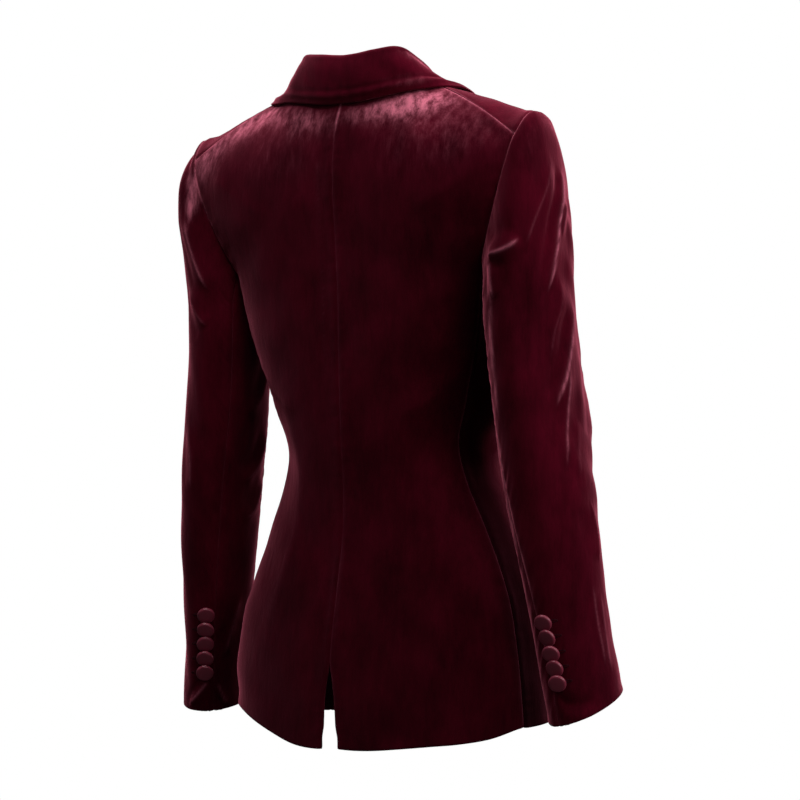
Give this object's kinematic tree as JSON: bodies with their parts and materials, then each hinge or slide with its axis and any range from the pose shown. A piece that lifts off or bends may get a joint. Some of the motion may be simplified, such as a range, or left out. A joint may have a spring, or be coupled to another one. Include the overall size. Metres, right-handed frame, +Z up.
{
  "type": "velvet blazer",
  "caption": "Tailored velvet blazer in its worn form: hollow cloth with notch lapels, a turned collar, two-piece sleeves with covered cuff buttons and an open back vent.",
  "frame": {"origin": "midway between the two neck points of the shoulder line, where the wearer's neck and shoulders hold the blazer up", "axes": "+Z up, -Y out of the front of the blazer, +X towards its left sleeve"},
  "size_m": [0.5252, 0.24, 0.6908],
  "materials": {
    "velvet": "burgundy velvet with a soft pile and a pale pink sheen at grazing angles",
    "satin": "burgundy satin stretched over a button mould"
  },
  "bodies": {
    "root": {"back_left": "velvet", "back_right": "velvet", "side_left": "velvet", "side_right": "velvet", "front_left": "velvet", "front_right": "velvet", "lapel_left": "velvet", "lapel_right": "velvet", "collar": "velvet", "sleeve_top_left": "velvet", "sleeve_top_right": "velvet", "sleeve_under_left": "velvet", "sleeve_under_right": "velvet", "cuff_button_left_1": "satin", "cuff_button_left_2": "satin", "cuff_button_left_3": "satin", "cuff_button_left_4": "satin", "cuff_button_left_5": "satin", "cuff_button_right_1": "satin", "cuff_button_right_2": "satin", "cuff_button_right_3": "satin", "cuff_button_right_4": "satin", "cuff_button_right_5": "satin", "front_button": "satin"}
  },
  "joints": []
}
